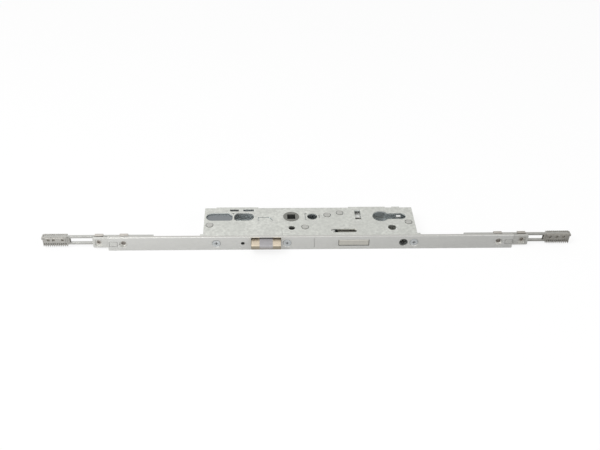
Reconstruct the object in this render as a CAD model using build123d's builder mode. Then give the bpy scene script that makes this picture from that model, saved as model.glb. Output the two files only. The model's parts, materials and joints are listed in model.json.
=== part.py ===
from build123d import *
import math
import os

# Centre section of a multipoint mortice lock, lying on its side.
# X runs along the faceplate, from the latch end (-X) to the cylinder end (+X).
# Y is depth into the door, the faceplate's front is at -Y. Z is the lock's thickness.
# The origin is the spindle axis at mid thickness. All sizes are in millimetres.

# Driving dimensions
backset = 35.0
spindle_to_cylinder = 92.0
spindle_square = 8.15

face_left = -181.7
face_right = 222.0
face_width = 16.0
face_thickness = 2.5
face_back = -backset + face_thickness

case_left = -88.3
case_right = 125.6
case_back = 15.2
case_half_height = 7.0
sheet = 1.4
room_half_height = case_half_height - sheet
room_front = face_back + sheet
room_back = case_back - sheet

drive_travel = 20.0
bolt_throw = 15.0
latch_travel = 10.5

# Round holes through both sides of the case, each (x, y) and radius
front_handle_hole = (0.0, -19.0)
front_handle_radius = 3.25
side_handle_hole = (21.5, 0.0)
side_handle_radius = 5.15
rosette_hole = (101.5, -19.0)
rosette_radius = 4.35

# Cylinder cut-out
barrel_radius = 8.6
web_width = 10.2
web_reach = 25.8

# Riveted posts that hold the two case halves together
post_places = [(-82.6, -13.6), (13.5, -17.6), (37.0, 2.4), (50.1, 6.1), (119.3, -10.1)]
post_radius = 2.2
post_head_radius = 3.3
post_head_height = 0.25

# Follower
follower_collar_radius = 8.15
follower_hole_radius = follower_collar_radius + 0.07
follower_body_radius = 9.0
follower_body_top = 5.3
follower_body_bottom = -2.7
arm_half_height = 2.4
arm_tip = (-18.0, -2.6)
arm_tip_radius = 2.5
arm_root = (0.0, -8.0)

# Latch
latch_left = -40.4
latch_right = -11.4
latch_centre = (latch_left + latch_right) / 2
latch_half_height = 5.0
latch_tip = -backset - latch_travel
latch_rear = -27.0
nose_bottom = 0.6
insert_half_width = 6.5
insert_rear = -31.5
latch_pin_radius = 1.25
latch_pin_place = (-33.6, 0.4)
latch_pin_setback = 0.5
bevel_heel = -backset + 0.4
bevel_radius = 22
nose_fillet = 2.1
latch_rod_radius = 2.2
latch_rod_start = -31.0
crossbar_front = 0.0
crossbar_depth = 3.0
crossbar_half_height = 2.0
bracket_front = -10.0
bracket_thickness = 1.2

# Deadbolt
bolt_left = 46.5
bolt_right = 76.6
bolt_half_height = 3.35
bolt_stud = (50.0, -2.0)
bolt_stud_radius = 2.5
horn_right = 81.5

# Drive slide, a flat plate above the deadbolt and behind the latch
slide_bottom = 3.6
slide_thickness = 1.7
slide_top = slide_bottom + slide_thickness
web_front = -14.8
web_back = -9.4
slot_clearance = 0.15
guide_stud = (41.3, -24.0)
guide_stud_radius = 1.75
guide_slot_start = (42.2, -24.0)
guide_slot_width = 5.6

# Drive rails behind the faceplate
rail_front = -30.9
rail_thickness = 2.5
rail_back = rail_front + rail_thickness
rail_half_width = 5.0
upper_rail_span = (-150.0, -62.5)
lower_rail_span = (79.0, 183.0)
flange_bottom = 2.0

# Coupling bars, connectors and end tongues
bar_half_width = 4.9
bar_slot_width = 5.6
bar_back = rail_back + rail_thickness
upper_bar_span = (-244.6, -137.5)
lower_bar_span = (173.3, 279.9)
upper_bar_slot = (-222.0, -163.2)
lower_bar_slot = (184.6, 258.5)
connector_length = 24.0
connector_top = 5.3
connector_bottom = -6.1
connector_front = -30.0
connector_back = -24.0
tooth_pitch = 2.1
tooth_depth = 1.4
tooth_reach = 2.6
tongue_half_width = 5.8
tongue_thickness = 2.0

# Faceplate fixings, as places along X
case_screws = [-75.2, -5.0, 121.9]
wood_screw_holes = [-166.6, 207.7]
joining_holes = [-191.0, 231.8]
cylinder_screw_hole = 111.3
hex_key_hole = -49.0
wood_screw_radius = 2.15
wood_screw_head_radius = 3.95
wood_screw_head_depth = 1.9
m4_core_radius = 1.65
case_screw_hole_radius = 2.2
cylinder_screw_radius = 4.35
cylinder_seat_radius = 3.1
cylinder_seat_slit = 1.4
hex_key_radius = 1.9
countersink_radius = 4.4
sleeve_radius = 2.6
latch_gap = 0.4
bolt_gap = 0.4
bolt_opening_half_height = bolt_half_height + bolt_gap

# Tumbler, a sprung plate below the deadbolt
tumbler_bottom = -5.3
tumbler_thickness = 1.6
tumbler_top = tumbler_bottom + tumbler_thickness
tumbler_lift = 3.5
tumbler_pin = (60.0, -8.0)

os.makedirs("parts", exist_ok=True)


def save(part, name):
    """Label a finished piece and write it under its own name."""
    part.label = name
    export_step(part, "parts/" + name + ".step")


def rectangle(x_low, x_high, y_low, y_high, mode=Mode.ADD):
    """A rectangle given by its sides, in the sketch's own axes."""
    with Locations(((x_low + x_high) / 2, (y_low + y_high) / 2)):
        Rectangle(x_high - x_low, y_high - y_low, mode=mode)


def slot_between(start, end, width, mode=Mode.ADD):
    """A round-ended slot whose end circles are centred on start and end."""
    run_x = end[0] - start[0]
    run_y = end[1] - start[1]
    with Locations(((start[0] + end[0]) / 2, (start[1] + end[1]) / 2)):
        SlotCenterToCenter(
            math.hypot(run_x, run_y),
            width,
            rotation=math.degrees(math.atan2(run_y, run_x)),
            mode=mode,
        )


def cylinder_profile():
    """The cylinder's outline: a round barrel and a straight web with a round end."""
    web_end = spindle_to_cylinder + web_reach - web_width / 2
    with Locations((spindle_to_cylinder, 0)):
        Circle(barrel_radius)
    slot_between((spindle_to_cylinder, 0), (web_end, 0), web_width)


def through_holes():
    """Every hole that goes right through both sides of the case."""
    with Locations(front_handle_hole):
        Circle(front_handle_radius)
    with Locations(side_handle_hole):
        Circle(side_handle_radius)
    with Locations(rosette_hole):
        Circle(rosette_radius)
    with Locations((0, 0)):
        Circle(follower_hole_radius)
    with Locations(*post_places):
        Circle(post_radius)
    cylinder_profile()


def along_x(places):
    """Points on a plane's X axis at the given places."""
    return [(x, 0) for x in places]


def facing(y):
    """A plane square to Y at depth y, seen from the front: its normal is -Y."""
    return Plane.XZ.offset(-y)


# Faceplate
latch_opening_half_height = 6.95
tenon_half_height = 2.5
tenon_gap = 0.3
upper_tenon = (-180.0, -172.6)
lower_tenon = (214.2, 221.6)
face_corner_radius = 0.8
face_edge = 0.3
seam_x = 22.0
seam_width = 0.7
seam_half_height = 5.8
seam_depth = 0.8

with BuildPart(facing(-backset)) as faceplate:
    with BuildSketch(facing(-backset)):
        rectangle(face_left, face_right, -face_width / 2, face_width / 2)
    extrude(amount=-face_thickness)
    fillet(faceplate.edges().filter_by(Axis.Y), face_corner_radius)
    chamfer(faceplate.edges().group_by(Axis.Y)[0], face_edge)
    with BuildSketch(facing(-backset)):
        rectangle(
            latch_left - latch_gap,
            latch_right + latch_gap,
            -latch_opening_half_height,
            latch_opening_half_height,
        )
        rectangle(
            bolt_left - bolt_gap,
            bolt_right + bolt_gap,
            -bolt_opening_half_height,
            bolt_opening_half_height,
        )
        for tenon_left, tenon_right in (upper_tenon, lower_tenon):
            rectangle(
                tenon_left - tenon_gap,
                tenon_right + tenon_gap,
                -tenon_half_height - tenon_gap,
                tenon_half_height + tenon_gap,
            )
        with Locations((hex_key_hole, 0)):
            Circle(hex_key_radius)
        with Locations((cylinder_screw_hole, 0)):
            Circle(cylinder_screw_radius)
    extrude(amount=-face_thickness, mode=Mode.SUBTRACT)
    with Locations(*along_x(case_screws)):
        CounterSinkHole(case_screw_hole_radius, countersink_radius, counter_sink_angle=90)
    with Locations(*along_x(wood_screw_holes)):
        CounterBoreHole(sleeve_radius, wood_screw_head_radius, wood_screw_head_depth)
    with BuildSketch(facing(-backset)):
        with Locations((seam_x, 0)):
            Rectangle(seam_width, 2 * seam_half_height)
    extrude(amount=-seam_depth, mode=Mode.SUBTRACT)
save(faceplate.part, "faceplate")


# Case tray: the floor and the four walls
ear_reach = 3.0
ear_depth = 2.2
ear_setback = 0.5
bend_radius = 0.8
rail_gap = 0.3
cam_window = (60.0, 97.0)
end_window = (110.5, 115.2)
end_window_bottom = -4.7
end_window_top = -2.3
floor_tab = (96.5, 107.5, -7.6, -6.4)
floor_tab_height = 7.0
spring_tab = (36.0, 37.2, 7.4, 10.6)
spring_tab_height = 3.7

with BuildPart() as case_tray:
    with BuildSketch(Plane.XY.offset(-case_half_height)):
        rectangle(case_left, case_right, face_back, case_back)
    extrude(amount=case_half_height + room_half_height)
    floor_edges = case_tray.edges().group_by(Axis.Z)[0]
    fillet(floor_edges.sort_by(Axis.Y)[1:], bend_radius)
    with BuildSketch(Plane.XY.offset(-room_half_height)):
        rectangle(case_left + sheet, case_right - sheet, room_front, room_back)
    extrude(amount=2 * room_half_height, mode=Mode.SUBTRACT)
    with BuildSketch(Plane.XY.offset(-case_half_height + ear_setback)):
        rectangle(case_left - ear_reach, case_left, face_back, face_back + ear_depth)
        rectangle(case_right, case_right + ear_reach, face_back, face_back + ear_depth)
    extrude(amount=2 * case_half_height - 2 * ear_setback - sheet)
    with BuildSketch(Plane.XY.offset(-case_half_height)):
        through_holes()
    extrude(amount=sheet, mode=Mode.SUBTRACT)
    # Openings in the front wall
    with BuildSketch(facing(face_back)):
        rectangle(
            latch_left - latch_gap,
            latch_right + latch_gap,
            -latch_half_height - latch_gap,
            room_half_height,
        )
        rectangle(
            bolt_left - bolt_gap,
            bolt_right + bolt_gap,
            -bolt_opening_half_height,
            bolt_opening_half_height,
        )
        with Locations(*along_x(case_screws)):
            Circle(case_screw_hole_radius)
        with Locations((cylinder_screw_hole, 0)):
            Circle(cylinder_seat_radius)
        rectangle(
            cylinder_screw_hole - cylinder_seat_slit / 2,
            cylinder_screw_hole + cylinder_seat_slit / 2,
            -cylinder_screw_radius,
            0,
        )
        with Locations((hex_key_hole, 0)):
            Circle(hex_key_radius)
    extrude(amount=-sheet, mode=Mode.SUBTRACT)
    # Openings in both end walls, where the rails pass
    with BuildSketch(Plane.XY.offset(-rail_half_width - rail_gap)):
        rectangle(case_left - ear_reach, case_left + sheet, room_front, rail_back + rail_gap)
        rectangle(case_right - sheet, case_right + ear_reach, room_front, rail_back + rail_gap)
    extrude(amount=2 * rail_half_width + 2 * rail_gap, mode=Mode.SUBTRACT)
    # Window in the back wall for the cylinder's cam and the deadbolt's tail
    with BuildSketch(Plane.XY.offset(-room_half_height)):
        rectangle(*cam_window, room_back, case_back)
    extrude(amount=2 * room_half_height, mode=Mode.SUBTRACT)
    with BuildSketch(Plane.XY.offset(end_window_bottom)):
        rectangle(*end_window, room_back, case_back)
    extrude(amount=end_window_top - end_window_bottom, mode=Mode.SUBTRACT)
    # Tabs folded up from the floor: the tumbler spring's stop, and a guard by the cylinder
    with BuildSketch(Plane.XY.offset(-room_half_height)):
        rectangle(*spring_tab)
    extrude(amount=spring_tab_height)
    with BuildSketch(Plane.XY.offset(-room_half_height)):
        rectangle(*floor_tab)
    extrude(amount=floor_tab_height)
save(case_tray.part, "case_tray")


# Case cover: the pressed upper plate, with tabs folded down behind the tray
tabs = [(-76.7, -33.4, -1.0), (59.6, 97.9, -5.6), (104.7, 113.0, -0.6)]
tab_thickness = 1.25
tab_gap = 0.05
cover_ear_depth = 3.9
post_groove_radius = 3.9
post_groove_depth = 0.7
cover_back = case_back + tab_gap + tab_thickness
latch_bulge = (-44.0, -9.8, face_back, -17.8)
bulge_taper = 30
tail_window = (65.5, 71.5, -5.1, 10.4)
small_windows = [(-62.5, -53.6, 9.5, 12.8), (-49.0, -38.1, 9.5, 12.8)]
mark_lines = [
    (-33.9, -32.8, -7.4, -0.6),
    (-32.8, -22.0, -1.7, -0.6),
    (14.0, 14.6, -5.6, 5.6),
    (14.0, 16.0, 5.0, 5.6),
    (14.0, 16.0, -5.6, -5.0),
    (28.3, 28.9, -2.8, 2.8),
]
slanted_mark = ((-22.0, -1.15), (-19.2, -6.0))
slanted_mark_width = 1.1
guide_slot_end = (guide_slot_start[0] + drive_travel + 0.1, guide_slot_start[1])
window_width = 12.7
window_left = -86.6
window_right = -38.0
window_web_x = -58.9
window_web_half_width = 0.8
window_corner = 3.3
window_fork = [(-64.0, 6.4), (-55.2, 6.4), (-58.9, 1.4)]
window_notch = [(-61.6, 6.4), (-57.4, 6.4), (-58.9, 4.4)]
mark_depth = 1.0
bulge_height = 0.5


def window_slots():
    """Two windows side by side, with a thin web between that forks towards the back."""
    half = window_width / 2
    for end_x, side in ((window_left + half, -1), (window_right - half, 1)):
        web_side = window_web_x + side * window_web_half_width
        with Locations((end_x, 0)):
            Circle(half)
        outer_side = end_x + side * window_corner
        with Locations(((outer_side + web_side) / 2, 0)):
            RectangleRounded(abs(outer_side - web_side), window_width, window_corner)
    with BuildLine() as fork:
        Polyline(*window_fork, close=True)
    make_face(fork.edges(), mode=Mode.SUBTRACT)
    with BuildLine() as notch:
        Polyline(*window_notch, close=True)
    make_face(notch.edges())


with BuildPart() as case_cover:
    with BuildSketch(Plane.XY.offset(room_half_height)):
        rectangle(case_left, case_right, face_back, case_back)
        rectangle(
            case_left - ear_reach,
            case_right + ear_reach,
            face_back,
            face_back + cover_ear_depth,
        )
        for tab_left, tab_right, _ in tabs:
            rectangle(tab_left, tab_right, case_back, cover_back)
    extrude(amount=sheet)
    for tab_left, tab_right, tab_bottom in tabs:
        with BuildSketch(Plane.XY.offset(tab_bottom)):
            rectangle(tab_left, tab_right, case_back + tab_gap, cover_back)
        extrude(amount=room_half_height - tab_bottom)
    # Pressed bulge over the latch
    with BuildSketch(Plane.XY.offset(case_half_height)):
        rectangle(*latch_bulge)
    extrude(amount=bulge_height, taper=bulge_taper)
    with BuildSketch(Plane.XY.offset(room_half_height)):
        through_holes()
        window_slots()
        slot_between(guide_slot_start, guide_slot_end, guide_slot_width)
        rectangle(*tail_window)
        for window in small_windows:
            rectangle(*window)
    extrude(amount=sheet, mode=Mode.SUBTRACT)
    # A groove round each post's head
    with BuildSketch(Plane.XY.offset(case_half_height)):
        with Locations(*post_places):
            Circle(post_groove_radius)
            Circle(post_head_radius, mode=Mode.SUBTRACT)
    extrude(amount=-post_groove_depth, mode=Mode.SUBTRACT)
    # Shallow pressed marks: a stepped line by the latch and a bracket at each side of a hole
    with BuildSketch(Plane.XY.offset(case_half_height)):
        for line in mark_lines:
            rectangle(*line)
        slot_between(*slanted_mark, slanted_mark_width)
    extrude(amount=-mark_depth, mode=Mode.SUBTRACT)
save(case_cover.part, "case_cover")


# Case posts: shouldered rivets, one through both halves at each place
with BuildPart() as case_posts:
    with BuildSketch(Plane.XY.offset(-case_half_height)):
        with Locations(*post_places):
            Circle(post_radius)
    extrude(amount=2 * case_half_height)
    with BuildSketch(Plane.XY.offset(case_half_height)):
        with Locations(*post_places):
            Circle(post_head_radius)
    extrude(amount=post_head_height)
    with BuildSketch(Plane.XY.offset(-case_half_height - post_head_height)):
        with Locations(*post_places):
            Circle(post_head_radius)
    extrude(amount=post_head_height)
save(case_posts.part, "case_posts")


# Screws that hold the faceplate to the case, each with a cross recess
screw_head_radius = 4.0
screw_shank_radius = 1.9
screw_head_front = -backset + 0.05
screw_head_back = screw_head_front + screw_head_radius - screw_shank_radius
screw_end = -28.6
cross_length = 3.4
cross_width = 0.8
cross_depth = 1.3
nut_radius = 2.25
nut_length = 2.5

with BuildPart() as faceplate_screws:
    for x in case_screws:
        with BuildSketch(facing(screw_head_front)):
            with Locations((x, 0)):
                Circle(screw_head_radius)
        with BuildSketch(facing(screw_head_back)):
            with Locations((x, 0)):
                Circle(screw_shank_radius)
        loft()
    with BuildSketch(facing(screw_head_back)):
        with Locations(*along_x(case_screws)):
            Circle(screw_shank_radius)
    extrude(amount=-(screw_end - screw_head_back))
    with BuildSketch(facing(screw_head_front)):
        with Locations(*along_x(case_screws)):
            Rectangle(cross_length, cross_width)
            Rectangle(cross_width, cross_length)
    extrude(amount=-cross_depth, mode=Mode.SUBTRACT)
save(faceplate_screws.part, "faceplate_screws")


# Threaded nuts behind the case's front wall
with BuildPart() as screw_nuts:
    with BuildSketch(facing(room_front)):
        with Locations(*along_x(case_screws)):
            Circle(nut_radius)
            Circle(screw_shank_radius, mode=Mode.SUBTRACT)
    extrude(amount=-nut_length)
save(screw_nuts.part, "screw_nuts")


# Follower: collars that turn in both sides of the case, a body, and the latch's arm
with BuildPart() as follower:
    with BuildSketch(Plane.XY.offset(-case_half_height)):
        Circle(follower_collar_radius)
    extrude(amount=2 * case_half_height)
    with BuildSketch(Plane.XY.offset(follower_body_bottom)):
        Circle(follower_body_radius)
    extrude(amount=follower_body_top - follower_body_bottom)
    with BuildSketch(Plane.XY.offset(-arm_half_height)):
        with Locations(arm_tip):
            Circle(arm_tip_radius)
        with BuildLine():
            Polyline(
                (0, 0),
                (arm_tip[0], arm_tip[1] + arm_tip_radius),
                (arm_tip[0], arm_tip[1] - arm_tip_radius),
                arm_root,
                close=True,
            )
        make_face()
    extrude(amount=2 * arm_half_height)
    with BuildSketch(Plane.XY.offset(-case_half_height)):
        Rectangle(spindle_square, spindle_square)
    extrude(amount=2 * case_half_height, mode=Mode.SUBTRACT)
save(follower.part, "follower")


# Follower spring: a coil round the lower collar, in the room below the follower's body
coil_bottom = -5.4
coil_height = 2.4
coil_outer = 9.6
coil_inner = 8.45
wire = 1.1
leg_bottom = -4.2
post_leg = ((8.0, -4.2), (12.2, -14.9))
arm_leg = ((-7.6, -5.0), (-12.6, -7.4))

with BuildPart() as follower_spring:
    with BuildSketch(Plane.XY.offset(coil_bottom)):
        Circle(coil_outer)
    extrude(amount=coil_height)
    with BuildSketch(Plane.XY.offset(leg_bottom)):
        slot_between(*post_leg, wire)
        slot_between(*arm_leg, wire)
    extrude(amount=wire)
    with BuildSketch(Plane.XY.offset(coil_bottom)):
        Circle(coil_inner)
    extrude(amount=coil_height, mode=Mode.SUBTRACT)
save(follower_spring.part, "follower_spring")


def latch_profile(plane):
    """The latch head from its side: flat above, a blunt nose, a curved bevel below."""
    with BuildSketch(plane) as side:
        with BuildLine():
            nose_high = (latch_tip, latch_half_height)
            nose_low = (latch_tip, nose_bottom)
            heel = (bevel_heel, -latch_half_height)
            Polyline(
                heel,
                (latch_rear, -latch_half_height),
                (latch_rear, latch_half_height),
                nose_high,
                nose_low,
            )
            RadiusArc(nose_low, heel, -bevel_radius)
        make_face()
    return side.sketch


latch_side = latch_profile(Plane.YZ.offset(latch_left))
insert_side = latch_profile(Plane.YZ.offset(latch_centre - insert_half_width))


# Latch bolt: the two outer cheeks and the block behind them
with BuildPart() as latch_bolt:
    extrude(latch_side, amount=latch_right - latch_left)
    fillet(latch_bolt.edges().filter_by(Axis.X).sort_by(Axis.Y)[:2], nose_fillet)
    with BuildSketch(Plane.XY.offset(-latch_half_height)):
        rectangle(
            latch_centre - insert_half_width,
            latch_centre + insert_half_width,
            latch_tip,
            insert_rear,
        )
    extrude(amount=2 * latch_half_height, mode=Mode.SUBTRACT)
    with BuildSketch(facing(latch_rear)):
        with Locations((latch_centre, 0)):
            Circle(latch_rod_radius)
    extrude(amount=latch_rear - latch_rod_start, mode=Mode.SUBTRACT)
    with BuildSketch(Plane.YZ.offset(latch_left)):
        with Locations(latch_pin_place):
            Circle(latch_pin_radius)
    extrude(amount=latch_right - latch_left, mode=Mode.SUBTRACT)
save(latch_bolt.part, "latch_bolt")


# Latch insert: the quiet plastic piece between the cheeks
with BuildPart() as latch_insert:
    extrude(insert_side, amount=2 * insert_half_width)
    fillet(latch_insert.edges().filter_by(Axis.X).sort_by(Axis.Y)[:2], nose_fillet)
    with BuildSketch(Plane.XY.offset(-latch_half_height)):
        rectangle(latch_left, latch_right, insert_rear, latch_rear)
    extrude(amount=2 * latch_half_height, mode=Mode.SUBTRACT)
    with BuildSketch(Plane.YZ.offset(latch_left)):
        with Locations(latch_pin_place):
            Circle(latch_pin_radius)
    extrude(amount=latch_right - latch_left, mode=Mode.SUBTRACT)
save(latch_insert.part, "latch_insert")


# Pin across the latch, through both cheeks and the insert
with BuildPart() as latch_pin:
    with BuildSketch(Plane.YZ.offset(latch_left + latch_pin_setback)):
        with Locations(latch_pin_place):
            Circle(latch_pin_radius)
    extrude(amount=latch_right - latch_left - 2 * latch_pin_setback)
save(latch_pin.part, "latch_pin")


# Latch rod, with the crossbar that the follower's arm pulls on
crossbar_left = latch_centre - 2.5
crossbar_right = -14.5
rod_in_crossbar = 1.0

with BuildPart() as latch_rod:
    with BuildSketch(facing(latch_rod_start)):
        with Locations((latch_centre, 0)):
            Circle(latch_rod_radius)
    extrude(amount=-(crossbar_front - latch_rod_start + rod_in_crossbar))
    with BuildSketch(Plane.XY.offset(-crossbar_half_height)):
        rectangle(crossbar_left, crossbar_right, crossbar_front, crossbar_front + crossbar_depth)
    extrude(amount=2 * crossbar_half_height)
save(latch_rod.part, "latch_rod")


# Latch spring, round the rod between the latch head and its bracket
latch_spring_outer = 3.4
latch_spring_inner = 2.5

with BuildPart() as latch_spring:
    with BuildSketch(facing(latch_rear)):
        with Locations((latch_centre, 0)):
            Circle(latch_spring_outer)
            Circle(latch_spring_inner, mode=Mode.SUBTRACT)
    extrude(amount=-(bracket_front - latch_rear))
save(latch_spring.part, "latch_spring")


# Bracket that carries the latch spring's fixed end and guides the rod
bracket_left = latch_centre - 7.0
bracket_right = latch_centre + 7.0
bracket_foot = 6.0
bracket_top = 3.3
rod_gap = 0.15

with BuildPart() as latch_bracket:
    with BuildSketch(Plane.XY.offset(-room_half_height)):
        rectangle(bracket_left, bracket_right, bracket_front, bracket_front + bracket_thickness)
    extrude(amount=bracket_top + room_half_height)
    with BuildSketch(Plane.XY.offset(-room_half_height)):
        rectangle(bracket_left, bracket_right, bracket_front, bracket_front + bracket_foot)
    extrude(amount=bracket_thickness)
    with BuildSketch(facing(bracket_front)):
        with Locations((latch_centre, 0)):
            Circle(latch_rod_radius + rod_gap)
    extrude(amount=-bracket_thickness, mode=Mode.SUBTRACT)
save(latch_bracket.part, "latch_bracket")


# Deadbolt: the head, the tail with the stud's hole, and the horns that the cam pushes
tail_left = 60.5
tail_back = 14.8
shoulder_back = 3.2
notch_front = 2.5
notch_back = 12.5
bolt_window = (63.5, 73.5, -6.0, 2.6)
pin_channel = (54.2, 62.3)
channel_front = -10.3
channel_depth = 2.0
bolt_edge = 0.5
rivet_neck_radius = 1.5

with BuildPart() as deadbolt:
    with BuildSketch(Plane.XY.offset(-bolt_half_height)):
        rectangle(bolt_left, bolt_right, -backset, shoulder_back)
        rectangle(tail_left, horn_right, -notch_front, tail_back)
        rectangle(bolt_right, horn_right, notch_front, notch_back, mode=Mode.SUBTRACT)
        rectangle(*bolt_window, mode=Mode.SUBTRACT)
        with Locations(bolt_stud):
            Circle(rivet_neck_radius, mode=Mode.SUBTRACT)
    extrude(amount=2 * bolt_half_height)
    with BuildSketch(Plane.XY.offset(-bolt_half_height)):
        rectangle(*pin_channel, channel_front, tail_back)
    extrude(amount=channel_depth, mode=Mode.SUBTRACT)
    front_edges = deadbolt.edges().group_by(Axis.Y)[0]
    chamfer(front_edges, bolt_edge)
save(deadbolt.part, "deadbolt")


# Stud on the deadbolt's tail, in the drive slide's slanted slot
with BuildPart() as deadbolt_stud:
    with BuildSketch(Plane.XY.offset(-bolt_half_height)):
        with Locations(bolt_stud):
            Circle(rivet_neck_radius)
    extrude(amount=2 * bolt_half_height)
    with BuildSketch(Plane.XY.offset(bolt_half_height)):
        with Locations(bolt_stud):
            Circle(bolt_stud_radius)
    extrude(amount=slide_top - bolt_half_height)
save(deadbolt_stud.part, "deadbolt_stud")


# Drive slide: from the upper rail, behind the latch, to the lower rail
slant_start = (bolt_stud[0] - drive_travel, bolt_stud[1] - bolt_throw)
slant_rim = 3.05
stud_slot_width = 2 * (bolt_stud_radius + slot_clearance)
slide_rivets = [(-74.0, -24.0), (-67.0, -24.0), (83.9, -26.2)]
slide_rivet_radius = 1.5
slide_rivet_head_radius = 2.2
slide_rivet_head = 0.6
slide_plates = [
    (-79.9, -61.0, rail_back, -8.0),
    (-86.4, -59.2, -8.0, 8.0),
    (-61.0, 30.0, web_front, web_back),
    (22.0, 43.6, rail_front, web_back),
    (43.6, 78.5, rail_front, -27.2),
    (70.0, 78.5, rail_front, -23.6),
    (78.5, 92.0, rail_back, -23.6),
]

with BuildPart() as drive_slide:
    with BuildSketch(Plane.XY.offset(slide_bottom)):
        for plate in slide_plates:
            rectangle(*plate)
        slot_between(slant_start, bolt_stud, stud_slot_width + 2 * slant_rim)
        slot_between(slant_start, bolt_stud, stud_slot_width, mode=Mode.SUBTRACT)
        with Locations(guide_stud):
            Circle(rivet_neck_radius, mode=Mode.SUBTRACT)
        with Locations(*slide_rivets):
            Circle(slide_rivet_radius, mode=Mode.SUBTRACT)
    extrude(amount=slide_thickness)
save(drive_slide.part, "drive_slide")


# Guide stud, riveted in the slide and seen in the cover's long slot
guide_stud_top = case_half_height - 0.1
guide_stud_edge = 0.25

with BuildPart() as guide_stud_pin:
    with BuildSketch(Plane.XY.offset(slide_bottom)):
        with Locations(guide_stud):
            Circle(rivet_neck_radius)
    extrude(amount=slide_thickness)
    with BuildSketch(Plane.XY.offset(slide_top)):
        with Locations(guide_stud):
            Circle(guide_stud_radius)
    extrude(amount=guide_stud_top - slide_top)
    top_edge = guide_stud_pin.edges().group_by(Axis.Z)[-1]
    chamfer(top_edge, guide_stud_edge)
save(guide_stud_pin.part, "guide_stud")


def straight_slot(span, width):
    """A slot along X, cut out of the sketch, whose ends reach the span's two limits."""
    half = width / 2
    slot_between((span[0] + half, 0), (span[1] - half, 0), width, mode=Mode.SUBTRACT)


def rail(span, slot_span, flange_span, flange_back, rivet_holes, bar_rivet_places):
    """A drive rail with its slot for the screws and a flange folded under the slide."""
    with BuildPart() as piece:
        with BuildSketch(facing(rail_front)):
            rectangle(*span, -rail_half_width, rail_half_width)
            straight_slot(slot_span, rail_slot_width)
            with Locations(*along_x(bar_rivet_places)):
                Circle(bar_rivet_radius, mode=Mode.SUBTRACT)
        extrude(amount=-rail_thickness)
        with BuildSketch(Plane.XY.offset(flange_bottom)):
            rectangle(*flange_span, rail_back, flange_back)
            with Locations(*rivet_holes):
                Circle(slide_rivet_radius, mode=Mode.SUBTRACT)
        extrude(amount=slide_bottom - flange_bottom)
    return piece.part


# Drive rails
rail_slot_width = 5.8
upper_rail_slot = (-98.4, -72.0)
lower_rail_slot = (88.4, 124.8)
upper_flange = (-79.0, -62.5)
lower_flange = (79.5, 88.2)
upper_flange_back = -20.5
lower_flange_back = -23.8
bar_rivet_radius = 1.3
bar_rivet_head_radius = 2.3
bar_rivet_head = 0.7
upper_bar_rivets = [-146.6, -141.0]
lower_bar_rivets = [175.6, 180.6]

upper_rail = rail(
    upper_rail_span,
    upper_rail_slot,
    upper_flange,
    upper_flange_back,
    slide_rivets[:2],
    upper_bar_rivets,
)
lower_rail = rail(
    lower_rail_span,
    lower_rail_slot,
    lower_flange,
    lower_flange_back,
    slide_rivets[2:],
    lower_bar_rivets,
)
save(upper_rail, "upper_rail")
save(lower_rail, "lower_rail")


# Rivets between the slide and the rails' flanges
with BuildPart() as rail_rivets:
    with BuildSketch(Plane.XY.offset(flange_bottom)):
        with Locations(*slide_rivets):
            Circle(slide_rivet_radius)
    extrude(amount=slide_top - flange_bottom)
    with BuildSketch(Plane.XY.offset(flange_bottom - slide_rivet_head)):
        with Locations(*slide_rivets):
            Circle(slide_rivet_head_radius)
    extrude(amount=slide_rivet_head)
save(rail_rivets.part, "rail_rivets")


def coupling_bar(span, slot_span, rivet_places, pin_places):
    """A coupling bar with the long slot that the sleeves stand in."""
    with BuildPart() as piece:
        with BuildSketch(facing(rail_back)):
            rectangle(*span, -bar_half_width, bar_half_width)
            straight_slot(slot_span, bar_slot_width)
            with Locations(*along_x(rivet_places)):
                Circle(bar_rivet_radius, mode=Mode.SUBTRACT)
            with Locations(*[(x, connector_pin_height) for x in pin_places]):
                Circle(connector_pin_radius, mode=Mode.SUBTRACT)
        extrude(amount=-rail_thickness)
    return piece.part


# Coupling bars
connector_pin_radius = 1.5
connector_pin_height = 2.0
upper_connector_left = -245.9
lower_connector_left = 257.2
upper_pins = [-240.3, -235.0, -226.3]
lower_pins = [261.2, 267.9, 274.7]

upper_coupling_bar = coupling_bar(upper_bar_span, upper_bar_slot, upper_bar_rivets, upper_pins)
lower_coupling_bar = coupling_bar(lower_bar_span, lower_bar_slot, lower_bar_rivets, lower_pins)
save(upper_coupling_bar, "upper_coupling_bar")
save(lower_coupling_bar, "lower_coupling_bar")


# Rivets between the rails and the coupling bars
bar_rivet_places = along_x(upper_bar_rivets + lower_bar_rivets)

with BuildPart() as bar_rivets:
    with BuildSketch(facing(rail_front)):
        with Locations(*bar_rivet_places):
            Circle(bar_rivet_radius)
    extrude(amount=-2 * rail_thickness)
    with BuildSketch(facing(bar_back)):
        with Locations(*bar_rivet_places):
            Circle(bar_rivet_head_radius)
    extrude(amount=-bar_rivet_head)
    with BuildSketch(facing(rail_front)):
        with Locations(*bar_rivet_places):
            Circle(bar_rivet_head_radius)
    extrude(amount=bar_rivet_head)
save(bar_rivets.part, "bar_rivets")


def notch_row(places, edge, depth, half_width):
    """A row of V notches along X, each from just outside the edge to the given depth."""
    for x in places:
        with BuildLine() as notch:
            Polyline(
                (x - half_width, edge - notch_overrun),
                (x, edge + depth),
                (x + half_width, edge - notch_overrun),
                close=True,
            )
        make_face(notch.edges())


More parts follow.
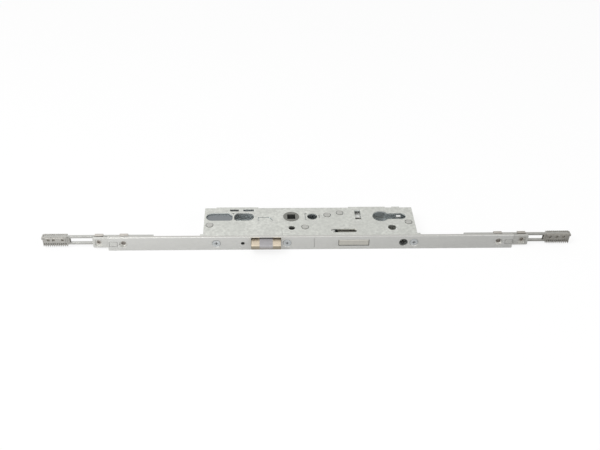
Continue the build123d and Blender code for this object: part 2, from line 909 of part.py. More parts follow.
def connector(left, mouth_side, bar_end, pin_places):
    """A toothed block: jaws over the bar's end, teeth below, ribs above, a collar at its mouth."""
    right = left + connector_length
    mouth, outer_end = (right, left) if mouth_side > 0 else (left, right)
    bar_room = sorted([bar_end, mouth + mouth_side * (collar_length + collar_overrun)])
    lip = sorted([outer_end, outer_end - mouth_side * lip_length])
    tooth_count = int(connector_length / tooth_pitch)
    teeth = [left + tooth_pitch * (first_tooth + i) for i in range(tooth_count)]
    block_depth = connector_back - connector_front
    with BuildPart() as piece:
        with BuildSketch(facing(connector_front)):
            rectangle(left, right, connector_bottom, connector_top)
        extrude(amount=-block_depth)
        fillet(piece.edges().filter_by(Axis.Y), connector_corner)
        # Lip at the outer end, raised panel on the front, and a collar round the bar
        with BuildSketch(facing(connector_front)):
            rectangle(*lip, lip_bottom, connector_top - connector_corner)
        extrude(amount=-block_depth)
        with BuildSketch(facing(connector_front)):
            rectangle(left + panel_inset, right - panel_inset, panel_bottom, panel_top)
        extrude(amount=panel_height, taper=panel_taper)
        with BuildSketch(Plane.YZ.offset(mouth)):
            rectangle(
                connector_front + collar_setback,
                connector_back - collar_setback,
                -collar_half_width,
                collar_half_width,
            )
        extrude(amount=collar_length * mouth_side, taper=collar_taper)
        # Teeth across the lower edge, shorter ones up the front, ribs across the upper face
        with BuildSketch(facing(connector_front)):
            notch_row(teeth, connector_bottom, tooth_depth, tooth_half_width)
        extrude(amount=-tooth_reach, mode=Mode.SUBTRACT)
        with BuildSketch(Plane.XY.offset(connector_bottom)):
            notch_row(teeth, connector_front, groove_depth, tooth_half_width)
        extrude(amount=groove_height, mode=Mode.SUBTRACT)
        with BuildSketch(Plane.XY.offset(connector_top)):
            for x in teeth:
                rectangle(x - rib_gap, x + rib_gap, connector_front + rib_setback, connector_back)
        extrude(amount=-rib_depth, mode=Mode.SUBTRACT)
        # Slot for the bar's end, and the pin holes, which leave a dimple in the panel
        with BuildSketch(facing(rail_back)):
            rectangle(*bar_room, connector_bottom, connector_top)
        extrude(amount=-rail_thickness, mode=Mode.SUBTRACT)
        with BuildSketch(facing(connector_front - panel_height)):
            with Locations(*[(x, connector_pin_height) for x in pin_places]):
                Circle(connector_pin_radius)
        extrude(amount=-(block_depth + panel_height), mode=Mode.SUBTRACT)
    return piece.part


# Connector blocks on the outer ends of the coupling bars
connector_corner = 1.0
lip_length = 1.0
lip_bottom = 2.4
panel_height = 0.45
panel_inset = 1.6
panel_bottom = -1.6
panel_top = 4.4
panel_taper = 20
tooth_half_width = 0.85
first_tooth = 0.6
notch_overrun = 0.1
groove_depth = 1.1
groove_height = 4.2
rib_gap = 0.4
rib_setback = 1.4
rib_depth = 0.6
collar_length = 2.6
collar_half_width = 4.2
collar_setback = 0.9
collar_overrun = 0.4
collar_taper = 18

save(connector(upper_connector_left, 1, upper_bar_span[0], upper_pins), "upper_connector")
save(connector(lower_connector_left, -1, lower_bar_span[1], lower_pins), "lower_connector")


# Pins that hold the connectors on the bars
connector_pin_front = connector_front + 0.8

with BuildPart() as connector_pins:
    with BuildSketch(facing(connector_pin_front)):
        with Locations(*[(x, connector_pin_height) for x in upper_pins + lower_pins]):
            Circle(connector_pin_radius)
    extrude(amount=-(connector_back - connector_pin_front))
save(connector_pins.part, "connector_pins")


def end_tongue(outer, inner, tenon, bush_x):
    """A plate behind the faceplate's end, with a recess for the joining screw."""
    with BuildPart() as piece:
        with BuildSketch(facing(face_back)):
            rectangle(min(outer, inner), max(outer, inner), -tongue_half_width, tongue_half_width)
        extrude(amount=-tongue_thickness)
        fillet(piece.edges().filter_by(Axis.Y), tongue_corner)
        with BuildSketch(facing(face_back)):
            rectangle(*tenon, -tenon_half_height, tenon_half_height)
        extrude(amount=face_thickness)
        with BuildSketch(facing(face_back)):
            with Locations((bush_x, 0)):
                RectangleRounded(*tongue_recess, tongue_recess_corner)
        extrude(amount=-tongue_recess_depth, mode=Mode.SUBTRACT)
        with BuildSketch(facing(face_back)):
            with Locations((bush_x, 0)):
                Circle(sleeve_radius)
        extrude(amount=-tongue_thickness, mode=Mode.SUBTRACT)
    return piece.part


# End tongues
tongue_corner = 1.0
tongue_recess = (7.2, 7.6)
tongue_recess_depth = 1.2
tongue_recess_corner = 1.6

save(end_tongue(-196.6, -171.2, upper_tenon, joining_holes[0]), "upper_tongue")
save(end_tongue(238.0, 212.4, lower_tenon, joining_holes[1]), "lower_tongue")


def sleeves(places, start, bore_radius):
    """Sleeves that stand in the coupling bars' slots, each with a clip folded over the bar."""
    with BuildPart() as piece:
        with BuildSketch(facing(start)):
            with Locations(*along_x(places)):
                Circle(sleeve_radius)
        extrude(amount=-(clip_back - start))
        with BuildSketch(facing(rail_back)):
            with Locations(*along_x(places)):
                Rectangle(clip_width, 2 * clip_half_height)
                Rectangle(clip_width, 2 * clip_room_half_height, mode=Mode.SUBTRACT)
        extrude(amount=-(clip_back - rail_back))
        with BuildSketch(facing(clip_front)):
            with Locations(*along_x(places)):
                Rectangle(clip_width, 2 * clip_half_height)
        extrude(amount=-(clip_back - clip_front))
        with BuildSketch(facing(start)):
            with Locations(*along_x(places)):
                Circle(bore_radius)
        extrude(amount=-(clip_back - start), mode=Mode.SUBTRACT)
    return piece.part


# Sleeves riveted in the wood-screw holes, and threaded bushes in the tongues
clip_width = 8.4
clip_room_half_height = bar_half_width + 0.15
clip_half_height = clip_room_half_height + 0.55
clip_front = bar_back + 0.2
clip_back = clip_front + 0.8
wood_sleeve_front = -backset + wood_screw_head_depth

save(sleeves(wood_screw_holes, wood_sleeve_front, wood_screw_radius), "screw_sleeves")
save(sleeves(joining_holes, face_back + tongue_recess_depth, m4_core_radius), "joining_bushes")


# Tumbler: slides away from the cylinder on two posts, against its spring
tumbler_tab = (45.4, 46.6, 7.4, 10.6)
tumbler_tab_height = 1.9
tumbler_slot = 2 * post_radius + 0.4
tumbler_plates = [
    (32.0, 80.5, -1.0, 7.1),
    (45.4, 80.5, 7.1, 10.8),
    (70.0, 80.5, -8.0, -1.0),
    (56.0, 70.0, -10.5, -1.0),
]
pin_neck_radius = 1.2
pin_radius = 1.7
pin_height = 2.0

with BuildPart() as tumbler:
    with BuildSketch(Plane.XY.offset(tumbler_bottom)):
        for plate in tumbler_plates:
            rectangle(*plate)
        for x, y in post_places[2:4]:
            slot_between((x, y), (x + tumbler_lift, y), tumbler_slot, mode=Mode.SUBTRACT)
        with Locations(tumbler_pin):
            Circle(pin_neck_radius, mode=Mode.SUBTRACT)
    extrude(amount=tumbler_thickness)
    with BuildSketch(Plane.XY.offset(tumbler_top)):
        rectangle(*tumbler_tab)
    extrude(amount=tumbler_tab_height)
save(tumbler.part, "tumbler")


# Pin on the tumbler, in the channel under the deadbolt
with BuildPart() as tumbler_pin_piece:
    with BuildSketch(Plane.XY.offset(tumbler_bottom)):
        with Locations(tumbler_pin):
            Circle(pin_neck_radius)
    extrude(amount=tumbler_thickness)
    with BuildSketch(Plane.XY.offset(tumbler_top)):
        with Locations(tumbler_pin):
            Circle(pin_radius)
    extrude(amount=pin_height)
save(tumbler_pin_piece.part, "tumbler_pin")


# Tumbler spring, between the tray's tab and the tumbler's
tumbler_spring_place = (9.0, -3.6)
tumbler_spring_outer = 1.7
tumbler_spring_inner = 1.1

with BuildPart() as tumbler_spring:
    with BuildSketch(Plane.YZ.offset(spring_tab[1])):
        with Locations(tumbler_spring_place):
            Circle(tumbler_spring_outer)
            Circle(tumbler_spring_inner, mode=Mode.SUBTRACT)
    extrude(amount=tumbler_tab[0] - spring_tab[1])
save(tumbler_spring.part, "tumbler_spring")
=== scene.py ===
import json
import math

import bpy
from mathutils import Matrix, Vector


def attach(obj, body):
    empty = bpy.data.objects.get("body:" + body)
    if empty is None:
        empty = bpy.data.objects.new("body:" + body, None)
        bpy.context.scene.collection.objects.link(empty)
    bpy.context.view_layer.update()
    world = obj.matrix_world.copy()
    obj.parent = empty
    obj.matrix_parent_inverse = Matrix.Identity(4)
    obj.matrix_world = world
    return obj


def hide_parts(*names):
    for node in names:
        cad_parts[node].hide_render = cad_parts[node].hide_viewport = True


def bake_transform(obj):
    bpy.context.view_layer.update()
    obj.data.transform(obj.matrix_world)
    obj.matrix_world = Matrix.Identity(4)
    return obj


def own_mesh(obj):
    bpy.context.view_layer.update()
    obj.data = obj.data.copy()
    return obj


# A multipoint door lock, lying on its side on a pale floor. Lengths are in metres.
# X runs along the faceplate, Y into the door and Z up, with the spindle's axis at the origin.

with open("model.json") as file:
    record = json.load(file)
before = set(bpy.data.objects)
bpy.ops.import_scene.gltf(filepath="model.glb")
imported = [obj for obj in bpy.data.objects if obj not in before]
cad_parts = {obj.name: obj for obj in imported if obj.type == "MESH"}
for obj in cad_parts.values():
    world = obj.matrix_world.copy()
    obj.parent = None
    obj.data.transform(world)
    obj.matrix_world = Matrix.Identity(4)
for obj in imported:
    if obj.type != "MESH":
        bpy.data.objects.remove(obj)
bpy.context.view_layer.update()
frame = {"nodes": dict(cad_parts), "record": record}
nodes = frame["nodes"]

# Camera: where it stands and how it is turned, in degrees
CAMERA_PLACE = Vector((-0.0304, -0.7023, 0.5245))
CAMERA_PITCH = 36.91
CAMERA_YAW = 3.23
CAMERA_ROLL = 1.59
LENS = 51.24
SENSOR = 36.0
NEAREST_SEEN = 0.01

# Lamps: place, size and power
KEY_LAMP = ((-0.9, -0.7, 1.5), 1.0, 22)
FILL_LAMP = ((1.2, -0.9, 0.9), 1.2, 7)

# Floor and room
FLOOR_HEIGHT = -0.0083
FLOOR_SIZE = 8.0
FLOOR_COLOUR = (0.86, 0.86, 0.86, 1)
WHITE = (1, 1, 1, 1)
WORLD_LIGHT = 0.62

# How much of the floor glows by itself. The rest keeps the shadow.
GLOW_SHARE = 0.85

# What mirrors of the room show: brighter to the left, along the floor and by direction,
# and darker on the floor close to the lock's long sides. On the floor, the brighter side is a
# painted falloff of light and the darker part a painted shadow, both in its glow.
GRADIENT_SPAN = (-0.3, 0.3)
FLOOR_MIRRORED = (1.15, 0.36)
LOCK_MIDDLE = -0.011
SHADE_SPAN = (0.074, 0.025)
SHADE_MIRRORED = (1.0, 0.7)
DIRECTION_SPAN = (-0.4, 0.4)
WORLD_MIRRORED = (1.15, 0.65)

# Inside of the case, where painted light and painted shade are laid: its room, and the inner face of
# the cover's tabs
CASE_ROOM = {"X": (-0.087, 0.1243), "Y": (-0.034, 0.0139), "Z": (-0.0057, 0.00675)}
TAB_FACE = 0.01525
TAB_MARGIN = 0.00003
PAINTED_LIGHT_SHARE = 0.85

# Painted shade, a bluish gloom, inside the case, by how enclosed a place is and by depth towards the
# two long walls.
# The back wall stays light at its foot.
PAINTED_GLOOM_COLOUR = (0.05, 0.055, 0.057, 1)
GLOOM_REACH = 0.014
GLOOM_SPAN = (0.75, 0.15)
GLOOM_SAMPLES = 8
FRONT_WALL = (-0.0308, -0.0311)
BACK_WALL = (0.012, 0.0127)
BACK_WALL_FOOT = (-0.0057, -0.005)

# A warm darkening towards the lock's lower end, along X
DARKENING_SPAN = (0.17, 0.25)
DARKENING_COLOUR = (0.2, 0.18, 0.14, 1)

# Mottling and grain
PATCH_DETAIL = 5.0
PATCH_SPAN = (0.3, 0.7)
CLOUD_SIZE = 9
CLOUD_DETAIL = 3.0
CLOUD_SPAN = (0.35, 0.65)
CLOUD_SHARE = 0.5
GRAIN_DETAIL = 3.0
GRAIN_SHADE = 0.72
NOISE_ROUGHNESS = 0.6

# Rounded edges, toned partly by wear and partly as painted light and shade, where the rounded normal
# agrees less with the flat one; and painted shade in narrow corners
EDGE_SPAN = (0.98, 0.8)
EDGE_SHARE = 0.7
EDGE_SAMPLES = 4
# Painted shade in narrow corners: where it starts, how dark it gets, and its samples
CORNER_SHADE_SPAN = (0.5, 0.15)
CORNER_SHADE_FACTOR = 0.2
CORNER_SHADE_SAMPLES = 4

# Relief and its gloss
ROUGHNESS_SPREAD = 0.06
GRAIN_ROUGHNESS = 0.03
PATCH_HEIGHT = 0.4
RELIEF_STRENGTH = 0.25
RELIEF_DEPTH = 0.00006

# Grain, as noise per metre on each axis: lines along the lock, lines across it, or spots
ALONG = (90, 2600, 2600)
ACROSS = (2400, 120, 2400)
SPOTTY = (700, 700, 700)

# Springs. The closed rise is how far a closed turn climbs, in thicknesses of its wire.
COIL_STEPS = 28
RETURN_STEPS = 96
WIRE_SIDES = 8
CLOSED_RISE = 1.02

# A plain worn steel. Each surface below names only what differs from it.
PLAIN_LOOK = {
    "metallic": 0.8,
    "roughness": 0.42,
    "mottle": 0.06,
    "mottle_scale": 260,
    "grain": ALONG,
    "grain_share": 0.16,
    # Rounded edges, toned partly by wear and partly as painted light and shade
    "edge_radius": 0.00025,
    "edge_wear_and_light": 1.08,
    # Painted shade in narrow corners: how dark it is, and how far it reaches
    "corner_shade": 0.7,
    "corner_shade_reach": 0.0012,
    # Painted shade inside the case: in its depths, at its front wall and at its back wall
    "gloom": 0.75,
    "front_gloom": 0.0,
    "back_gloom": 0.0,
    # Painted light inside the case: a lighter tone, over a span of depth
    "inner": None,
    # Warm darkening towards the lock's lower end, and painted shade between two heights where these
    # are given
    "warm_darkening": 0.0,
    "painted_shade_heights": None,
}

SURFACES = {
    "faceplate": {
        "colour": (0.7, 0.7, 0.675),
        "grain": (60, 3200, 3200),
        "grain_share": 0.2,
        "mottle": 0.03,
        "edge_wear_and_light": 0.8,
        "edge_radius": 0.0001,
        "corner_shade": 0.5,
        # Painted shade on the faceplate's top edge
        "warm_darkening": 0.25,
        "painted_shade_heights": (0.0077, 0.00795),
    },
    "screws": {
        "colour": (0.64, 0.665, 0.67),
        "roughness": 0.35,
        "grain": SPOTTY,
        "corner_shade": 1.0,
        "corner_shade_reach": 0.0016,
    },
    "case": {
        "colour": (0.66, 0.67, 0.63),
        "roughness": 0.48,
        "mottle": 0.2,
        "mottle_scale": 330,
        "grain": SPOTTY,
        "grain_share": 0.2,
        "corner_shade": 0.9,
        "corner_shade_reach": 0.002,
        "gloom": 0.0,
        # Painted shade at the case's front and back walls
        "front_gloom": 0.85,
        "back_gloom": 0.56,
        # Painted light: a lighter, bluish tone inside the case
        "inner": (0.8, 0.85, 0.86),
        "painted_light_span": (-0.0048, 0.0154),
    },
    "rivets": {
        "colour": (0.53, 0.53, 0.5),
        "grain": SPOTTY,
        "corner_shade": 0.9,
        "edge_wear_and_light": 0.6,
        "edge_radius": 0.0004,
    },
    "follower": {"colour": (0.235, 0.235, 0.215), "grain": SPOTTY, "roughness": 0.5},
    "latch": {
        "colour": (0.78, 0.68, 0.54),
        "metallic": 0.9,
        "grain": ACROSS,
        "corner_shade": 0.3,
        "gloom": 0.5,
        "edge_wear_and_light": 0.9,
        # Painted shade on the latch below its top
        "warm_darkening": 0.72,
        "painted_shade_heights": (0.005, 0.0043),
    },
    "latch_insert": {
        "colour": (0.33, 0.32, 0.33),
        "metallic": 0.0,
        "roughness": 0.5,
        "grain": SPOTTY,
        "edge_wear_and_light": 1.05,
        # Painted shade, deeper towards the insert's lower part
        "warm_darkening": 0.55,
        "painted_shade_heights": (0.0044, 0.0008),
    },
    "deadbolt": {
        "colour": (0.63, 0.615, 0.56),
        "corner_shade": 0.3,
        "gloom": 0.0,
        # Painted light on the deadbolt's tail inside the case
        "inner": (0.85, 0.85, 0.82),
        "painted_light_span": (-0.006, 0.0139),
    },
    "slide": {
        "colour": (0.25, 0.265, 0.275),
        "roughness": 0.5,
        "gloom": 0.4,
        # Painted light on a narrow band of the slide
        "inner": (0.75, 0.75, 0.72),
        "painted_light_span": (-0.0152, -0.0144),
    },
    "stud": {"colour": (0.5, 0.5, 0.48), "grain": SPOTTY, "roughness": 0.3, "gloom": 0.0},
    "rail": {"colour": (0.54, 0.54, 0.515), "grain": (80, 2600, 2600), "warm_darkening": 0.22},
    "connector": {
        "colour": (0.47, 0.46, 0.43),
        "metallic": 0.75,
        "roughness": 0.5,
        "mottle": 0.22,
        "mottle_scale": 480,
        "grain": SPOTTY,
        "corner_shade": 0.8,
        "corner_shade_reach": 0.002,
        "warm_darkening": 0.3,
    },
    "connector_pin": {"colour": (0.42, 0.4, 0.36), "grain": SPOTTY, "roughness": 0.35},
    "tongue": {
        "colour": (0.69, 0.69, 0.66),
        "grain": SPOTTY,
        "corner_shade": 0.5,
        "corner_shade_reach": 0.0015,
        "warm_darkening": 0.2,
    },
    "sleeve": {"colour": (0.6, 0.57, 0.53), "grain": SPOTTY, "roughness": 0.5, "warm_darkening": 0.5},
    "inner_steel": {"colour": (0.4, 0.41, 0.42), "grain": SPOTTY},
    "spring": {"colour": (0.3, 0.3, 0.31), "grain": SPOTTY, "roughness": 0.35},
}


# Camera and lamps


def make_camera():
    """The camera at the photograph's viewing angle."""
    pitch = math.radians(CAMERA_PITCH)
    yaw = math.radians(CAMERA_YAW)
    roll = math.radians(CAMERA_ROLL)
    level_right = Vector((math.cos(yaw), -math.sin(yaw), 0))
    look = Vector(
        (math.cos(pitch) * math.sin(yaw), math.cos(pitch) * math.cos(yaw), -math.sin(pitch))
    )
    level_up = level_right.cross(look)
    right = math.cos(roll) * level_right + math.sin(roll) * level_up
    up = -math.sin(roll) * level_right + math.cos(roll) * level_up
    data = bpy.data.cameras.new("camera")
    data.lens = LENS
    data.sensor_width = SENSOR
    data.clip_start = NEAREST_SEEN
    camera = bpy.data.objects.new("camera", data)
    turn = Matrix((right, up, -look)).transposed().to_4x4()
    camera.matrix_world = Matrix.Translation(CAMERA_PLACE) @ turn
    bpy.context.scene.collection.objects.link(camera)
    bpy.context.scene.camera = camera


def area_light(name, place, size, power):
    """A soft square lamp that looks at the middle of the lock."""
    data = bpy.data.lights.new(name, "AREA")
    data.size = size
    data.energy = power
    lamp = bpy.data.objects.new(name, data)
    lamp.location = place
    lamp.rotation_euler = (-Vector(place)).to_track_quat("-Z", "Y").to_euler()
    bpy.context.scene.collection.objects.link(lamp)


# Small helpers for node trees


def feed(tree, socket, value):
    """Links another socket to this one, or sets this one to a plain value."""
    if isinstance(value, bpy.types.NodeSocket):
        tree.links.new(value, socket)
    else:
        socket.default_value = value


def new_node(tree, kind, settings=None, **inputs):
    """A node with its settings and its input values."""
    node = tree.nodes.new("ShaderNode" + kind)
    for key, value in (settings or {}).items():
        setattr(node, key, value)
    for key, value in inputs.items():
        feed(tree, node.inputs[key.replace("_", " ")], value)
    return node


def math_node(tree, operation, first, second=0.0, clamp=False):
    """The result of one sum on two values or sockets."""
    node = tree.nodes.new("ShaderNodeMath")
    node.operation = operation
    node.use_clamp = clamp
    feed(tree, node.inputs[0], first)
    feed(tree, node.inputs[1], second)
    return node.outputs[0]


def distance_from(tree, value, middle):
    """How far a value lies from a middle, on either side."""
    return math_node(tree, "ABSOLUTE", math_node(tree, "SUBTRACT", value, middle))


def mix_value(tree, factor, first, second):
    """Two numbers mixed by a factor."""
    node = tree.nodes.new("ShaderNodeMix")
    feed(tree, node.inputs[0], factor)
    feed(tree, node.inputs[2], first)
    feed(tree, node.inputs[3], second)
    return node.outputs[0]


def mix_colour(tree, factor, first, second):
    """Two colours mixed by a factor."""
    node = tree.nodes.new("ShaderNodeMix")
    node.data_type = "RGBA"
    feed(tree, node.inputs[0], factor)
    feed(tree, node.inputs[6], first)
    feed(tree, node.inputs[7], second)
    return node.outputs[2]


def spread(tree, value, low, high, new_low, new_high):
    """A value's span stretched onto a new span."""
    node = new_node(tree, "MapRange", None, Value=value)
    node.inputs["From Min"].default_value = low
    node.inputs["From Max"].default_value = high
    node.inputs["To Min"].default_value = new_low
    node.inputs["To Max"].default_value = new_high
    return node.outputs["Result"]


def noise(tree, coordinates, scale, detail, stretch=(1, 1, 1)):
    """Noise at a scale per metre, stretched along the axes."""
    mapped = new_node(tree, "Mapping", None, Vector=coordinates, Scale=stretch)
    node = new_node(
        tree,
        "TexNoise",
        None,
        Vector=mapped.outputs["Vector"],
        Scale=scale,
        Detail=detail,
        Roughness=NOISE_ROUGHNESS,
    )
    return node.outputs["Fac"]


def shade(colour, factor=1):
    """A colour made lighter or darker, with full alpha."""
    return tuple(min(1.0, part * factor) for part in colour) + (1.0,)


# Surfaces


def inside_case(tree, place):
    """One in the case's room and on the inner face of the cover's tabs, and nought elsewhere."""
    inside = 1.0
    for axis, (low, high) in CASE_ROOM.items():
        distance = distance_from(tree, place.outputs[axis], (low + high) / 2)
        within = math_node(tree, "LESS_THAN", distance, (high - low) / 2)
        inside = math_node(tree, "MULTIPLY", within, inside)
    from_tab = distance_from(tree, place.outputs["Y"], TAB_FACE)
    on_tab = math_node(tree, "LESS_THAN", from_tab, TAB_MARGIN)
    return math_node(tree, "MAXIMUM", inside, on_tab)


def worn_tone(tree, look, patches, clouds, lines):
    """The surface's colour, mottled in patches and clouds and darker along its grain."""
    colour = look["colour"]
    mottle = look["mottle"]
    tone = mix_colour(
        tree,
        spread(tree, patches, *PATCH_SPAN, 0.0, 1.0),
        shade(colour, 1 - mottle),
        shade(colour, 1 + mottle),
    )
    tone = mix_colour(
        tree,
        spread(tree, clouds, *CLOUD_SPAN, 0.0, CLOUD_SHARE),
        tone,
        shade(colour, 1 - mottle / 2),
    )
    return mix_colour(
        tree,
        spread(tree, lines, *PATCH_SPAN, 0.0, look["grain_share"]),
        tone,
        shade(colour, GRAIN_SHADE),
    )


def painted_light_tone(tree, look, tone, place, room):
    """Painted light: a lighter tone inside the case, over a span of its depth."""
    front, rear = look["painted_light_span"]
    behind = math_node(tree, "GREATER_THAN", place.outputs["Y"], front)
    before = math_node(tree, "LESS_THAN", place.outputs["Y"], rear)
    within = math_node(tree, "MULTIPLY", behind, before)
    within = math_node(tree, "MULTIPLY", within, room)
    share = math_node(tree, "MULTIPLY", within, PAINTED_LIGHT_SHARE)
    return mix_colour(tree, share, tone, shade(look["inner"]))


def worn_and_lit_edge_tone(tree, look, tone, rounded):
    """A lighter or darker tone on rounded edges: partly wear, partly painted light and shade."""
    flat = new_node(tree, "NewGeometry").outputs["Normal"]
    agreement = new_node(tree, "VectorMath", {"operation": "DOT_PRODUCT"})
    tree.links.new(rounded, agreement.inputs[0])
    tree.links.new(flat, agreement.inputs[1])
    edge = spread(tree, agreement.outputs["Value"], *EDGE_SPAN, 0.0, EDGE_SHARE)
    return mix_colour(tree, edge, tone, shade(look["colour"], look["edge_wear_and_light"]))


def warm_darkening_tone(tree, look, tone, place):
    """A warm darkening: painted shade between two heights, or else a darker tone towards the lock's
    lower end.
    """
    if look["painted_shade_heights"]:
        darkened = spread(tree, place.outputs["Z"], *look["painted_shade_heights"], 0.0, look["warm_darkening"])
    else:
        darkened = spread(tree, place.outputs["X"], *DARKENING_SPAN, 0.0, look["warm_darkening"])
    return mix_colour(tree, darkened, tone, DARKENING_COLOUR)


def painted_corner_shade_tone(tree, look, tone):
    """Painted shade in narrow corners, darker where the surface is enclosed."""
    corner = new_node(
        tree, "AmbientOcclusion", {"samples": CORNER_SHADE_SAMPLES}, Distance=look["corner_shade_reach"]
    )
    shaded = spread(tree, corner.outputs["AO"], *CORNER_SHADE_SPAN, 0.0, look["corner_shade"])
    return mix_colour(tree, shaded, tone, shade(look["colour"], CORNER_SHADE_FACTOR))


def painted_gloom_tone(tree, look, tone, place, room):
    """Painted shade: a bluish gloom inside the case, in its depths and on its front and back walls.
    """
    hollow = new_node(tree, "AmbientOcclusion", {"samples": GLOOM_SAMPLES}, Distance=GLOOM_REACH)
    gloomy = spread(tree, hollow.outputs["AO"], *GLOOM_SPAN, 0.0, look["gloom"])
    back = spread(tree, place.outputs["Y"], *BACK_WALL, 0.0, look["back_gloom"])
    above_foot = spread(tree, place.outputs["Z"], *BACK_WALL_FOOT, 0.0, 1.0)
    gloomy = math_node(tree, "MAXIMUM", gloomy, math_node(tree, "MULTIPLY", back, above_foot))
    front = spread(tree, place.outputs["Y"], *FRONT_WALL, 0.0, look["front_gloom"])
    gloomy = math_node(tree, "MAXIMUM", gloomy, front)
    gloomy = math_node(tree, "MULTIPLY", gloomy, room)
    return mix_colour(tree, gloomy, tone, PAINTED_GLOOM_COLOUR)


def uneven_gloss(tree, look, patches, lines):
    """Roughness that varies with the patches and with the grain."""
    smoothest = look["roughness"] - ROUGHNESS_SPREAD
    roughest = look["roughness"] + ROUGHNESS_SPREAD
    return math_node(
        tree,
        "ADD",
        spread(tree, patches, *PATCH_SPAN, smoothest, roughest),
        spread(tree, lines, *PATCH_SPAN, -GRAIN_ROUGHNESS, GRAIN_ROUGHNESS),
    )


def make_surface(name, differences):
    """A worn metal or plastic: mottled and grained, with edges toned partly by wear and partly as
    painted light, a warm darkening, painted shade in corners and inside the case, and painted light
    inside the case.
    """
    look = {**PLAIN_LOOK, **differences}
    material = bpy.data.materials.new(name)
    material.use_nodes = True
    tree = material.node_tree
    tree.nodes.clear()
    coordinates = new_node(tree, "TexCoord").outputs["Object"]
    place = new_node(tree, "SeparateXYZ", None, Vector=coordinates)

    patches = noise(tree, coordinates, look["mottle_scale"], PATCH_DETAIL)
    clouds = noise(tree, coordinates, look["mottle_scale"] / CLOUD_SIZE, CLOUD_DETAIL)
    lines = noise(tree, coordinates, 1.0, GRAIN_DETAIL, look["grain"])
    tone = worn_tone(tree, look, patches, clouds, lines)

    room = inside_case(tree, place)
    # Painted light inside the case
    if look["inner"]:
        tone = painted_light_tone(tree, look, tone, place, room)

    bevel = new_node(tree, "Bevel", {"samples": EDGE_SAMPLES}, Radius=look["edge_radius"])
    rounded = bevel.outputs["Normal"]
    # Edges toned partly by wear, partly as painted light and shade
    tone = worn_and_lit_edge_tone(tree, look, tone, rounded)
    # Warm darkening: painted shade between two heights, or darker towards the lock's lower end
    tone = warm_darkening_tone(tree, look, tone, place)
    # Painted shade in narrow corners
    tone = painted_corner_shade_tone(tree, look, tone)
    # Painted shade inside the case
    tone = painted_gloom_tone(tree, look, tone, place, room)

    rough = uneven_gloss(tree, look, patches, lines)
    height = math_node(tree, "ADD", math_node(tree, "MULTIPLY", patches, PATCH_HEIGHT), lines)
    relief = new_node(
        tree,
        "Bump",
        None,
        Strength=RELIEF_STRENGTH,
        Distance=RELIEF_DEPTH,
        Height=height,
        Normal=rounded,
    )
    shader = new_node(
        tree,
        "BsdfPrincipled",
        None,
        Base_Color=tone,
        Metallic=look["metallic"],
        Roughness=rough,
        Normal=relief.outputs["Normal"],
    )
    output = new_node(tree, "OutputMaterial")
    tree.links.new(shader.outputs["BSDF"], output.inputs["Surface"])
    return material


def paint_nodes():
    """Gives every CAD node the material of its slot."""
    materials = {slot: make_surface(slot, look) for slot, look in SURFACES.items()}
    for part in frame["record"]["subparts"]:
        mesh = nodes[part["node"]].data
        mesh.materials.clear()
        mesh.materials.append(materials[part["material_slot"]])
    return materials


# Springs


def millimetres(*values):
    """A point or length given in millimetres, in metres."""
    return Vector(values) / 1000


def tube(name, path, wire):
    """A round wire along a path of (point, one normal, other normal)."""
    sides = WIRE_SIDES
    points = []
    for point, first, second in path:
        for step in range(sides):
            turn = 2 * math.pi * step / sides
            points.append(point + wire / 2 * (math.cos(turn) * first + math.sin(turn) * second))
    faces = [list(range(sides))[::-1], list(range(len(points) - sides, len(points)))]
    for ring in range(len(path) - 1):
        start = ring * sides
        for step in range(sides):
            after = (step + 1) % sides
            faces.append([start + step, start + after, start + sides + after, start + sides + step])
    mesh = bpy.data.meshes.new(name)
    mesh.from_pydata(points, [], faces)
    mesh.update()
    for face in mesh.polygons:
        face.use_smooth = len(face.vertices) == 4
    piece = bpy.data.objects.new(name, mesh)
    bpy.context.scene.collection.objects.link(piece)
    return piece


def compression_spring(name, start, end, radius, wire, turns):
    """A coil from start to end, with one closed turn at each end."""
    run = end - start
    along = run.normalized()
    first = along.orthogonal().normalized()
    second = along.cross(first)
    length = run.length - wire
    closed_rise = CLOSED_RISE * wire
    open_rise = (length - 2 * closed_rise) / (turns - 2)
    path = []
    for step in range(turns * COIL_STEPS + 1):
        turn = step / COIL_STEPS
        rise = closed_rise * min(turn, 1)
        rise += open_rise * min(max(turn - 1, 0), turns - 2)
        rise += closed_rise * max(turn - turns + 1, 0)
        angle = 2 * math.pi * turn
        outward = math.cos(angle) * first + math.sin(angle) * second
        path.append((start + (wire / 2 + rise) * along + radius * outward, outward, along))
    return tube(name, path, wire)


def return_spring():
    """The follower's spring: a turn and two thirds round its lower collar, and a leg at each end."""
    upward = Vector((0, 0, 1))
    wire = 0.00105
    radius = 0.00902
    start_height = -0.00485
    climb = 0.00115
    start_angle = math.radians(-28)
    end_angle = start_angle + 2 * math.pi + math.radians(240)
    path = []
    for step in range(RETURN_STEPS + 1):
        angle = start_angle + (end_angle - start_angle) * step / RETURN_STEPS
        outward = Vector((math.cos(angle), math.sin(angle), 0))
        height = start_height + climb * step / RETURN_STEPS
        path.append((radius * outward + height * upward, outward, upward))
    post_leg_end = millimetres(12.2, -14.9, -4.85)
    arm_leg_end = millimetres(-12.6, -7.4, -3.7)
    first_normal = (path[0][0] - post_leg_end).normalized().cross(upward)
    last_normal = (arm_leg_end - path[-1][0]).normalized().cross(upward)
    path.insert(0, (post_leg_end, first_normal, upward))
    path.append((arm_leg_end, last_normal, upward))
    return tube("follower_return_coil", path, wire)


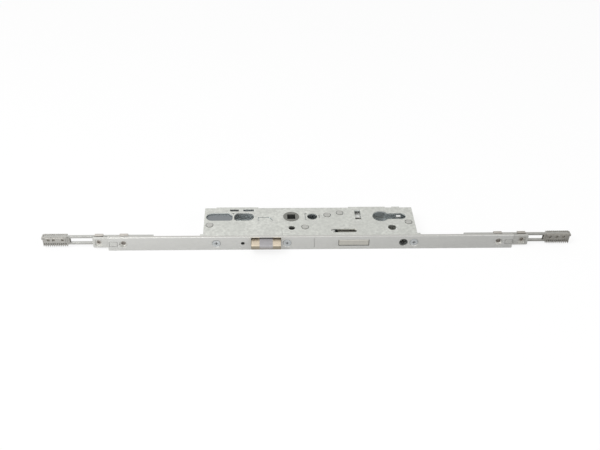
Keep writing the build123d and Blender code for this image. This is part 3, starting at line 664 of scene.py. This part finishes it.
def make_springs(materials):
    """Real coils in the place of the plain tubes."""
    latch_coil = compression_spring(
        "latch_coil",
        millimetres(-25.9, -27, 0),
        millimetres(-25.9, -10, 0),
        radius=0.00295,
        wire=0.0009,
        turns=7,
    )
    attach(latch_coil, "case")
    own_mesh(latch_coil)
    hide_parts("latch_spring")

    tumbler_coil = compression_spring(
        "tumbler_coil",
        millimetres(37.2, 9, -3.6),
        millimetres(45.4, 9, -3.6),
        radius=0.0014,
        wire=0.0006,
        turns=7,
    )
    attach(tumbler_coil, "case")
    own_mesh(tumbler_coil)
    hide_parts("tumbler_spring")

    return_coil = return_spring()
    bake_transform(return_coil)
    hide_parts("follower_spring")

    for coil in (latch_coil, tumbler_coil, return_coil):
        coil.data.materials.append(materials["spring"])


# Floor and room


def make_floor():
    """A pale floor that is white to the camera and keeps a soft shadow."""
    material = bpy.data.materials.new("floor")
    material.use_nodes = True
    tree = material.node_tree
    tree.nodes.clear()
    rays = new_node(tree, "LightPath").outputs
    seen = math_node(tree, "ADD", rays["Is Camera Ray"], rays["Is Glossy Ray"], clamp=True)
    seen = math_node(tree, "ADD", seen, rays["Is Transmission Ray"], clamp=True)
    glowing = math_node(tree, "MULTIPLY", seen, GLOW_SHARE)
    coordinates = new_node(tree, "TexCoord").outputs["Object"]
    place = new_node(tree, "SeparateXYZ", None, Vector=coordinates)
    # Painted falloff of light along X, and painted shadow beside the lock, in the glow that mirrors
    # show
    along = spread(tree, place.outputs["X"], *GRADIENT_SPAN, *FLOOR_MIRRORED)
    from_lock = distance_from(tree, place.outputs["Y"], LOCK_MIDDLE)
    painted_shadow = spread(tree, from_lock, *SHADE_SPAN, *SHADE_MIRRORED)
    mirrored = math_node(tree, "MULTIPLY", along, painted_shadow)
    strength = mix_value(tree, rays["Is Glossy Ray"], 1.0, mirrored)
    diffuse = new_node(tree, "BsdfDiffuse", None, Color=FLOOR_COLOUR)
    glow = new_node(tree, "Emission", None, Color=WHITE, Strength=strength)
    mixed = tree.nodes.new("ShaderNodeMixShader")
    tree.links.new(glowing, mixed.inputs[0])
    tree.links.new(diffuse.outputs[0], mixed.inputs[1])
    tree.links.new(glow.outputs[0], mixed.inputs[2])
    output = new_node(tree, "OutputMaterial")
    tree.links.new(mixed.outputs[0], output.inputs["Surface"])
    bpy.ops.mesh.primitive_plane_add(size=FLOOR_SIZE, location=(0, 0, FLOOR_HEIGHT))
    floor = bpy.context.object
    floor.name = "floor"
    floor.data.materials.append(material)


def make_world():
    """Even light all round, white to the camera and graded in mirrors."""
    world = bpy.data.worlds.new("room")
    world.use_nodes = True
    bpy.context.scene.world = world
    tree = world.node_tree
    tree.nodes.clear()
    rays = new_node(tree, "LightPath").outputs
    seen = math_node(tree, "ADD", rays["Is Camera Ray"], rays["Is Transmission Ray"], clamp=True)
    coordinates = new_node(tree, "TexCoord").outputs["Generated"]
    direction = new_node(tree, "SeparateXYZ", None, Vector=coordinates)
    mirrored = spread(tree, direction.outputs["X"], *DIRECTION_SPAN, *WORLD_MIRRORED)
    unseen = mix_value(tree, rays["Is Glossy Ray"], WORLD_LIGHT, mirrored)
    strength = mix_value(tree, seen, unseen, 1.0)
    background = new_node(tree, "Background", None, Color=WHITE, Strength=strength)
    output = new_node(tree, "OutputWorld")
    tree.links.new(background.outputs[0], output.inputs["Surface"])


make_camera()
make_world()
make_floor()
area_light("key", *KEY_LAMP)
area_light("fill", *FILL_LAMP)
make_springs(paint_nodes())

bpy.context.scene.view_settings.view_transform = "Standard"
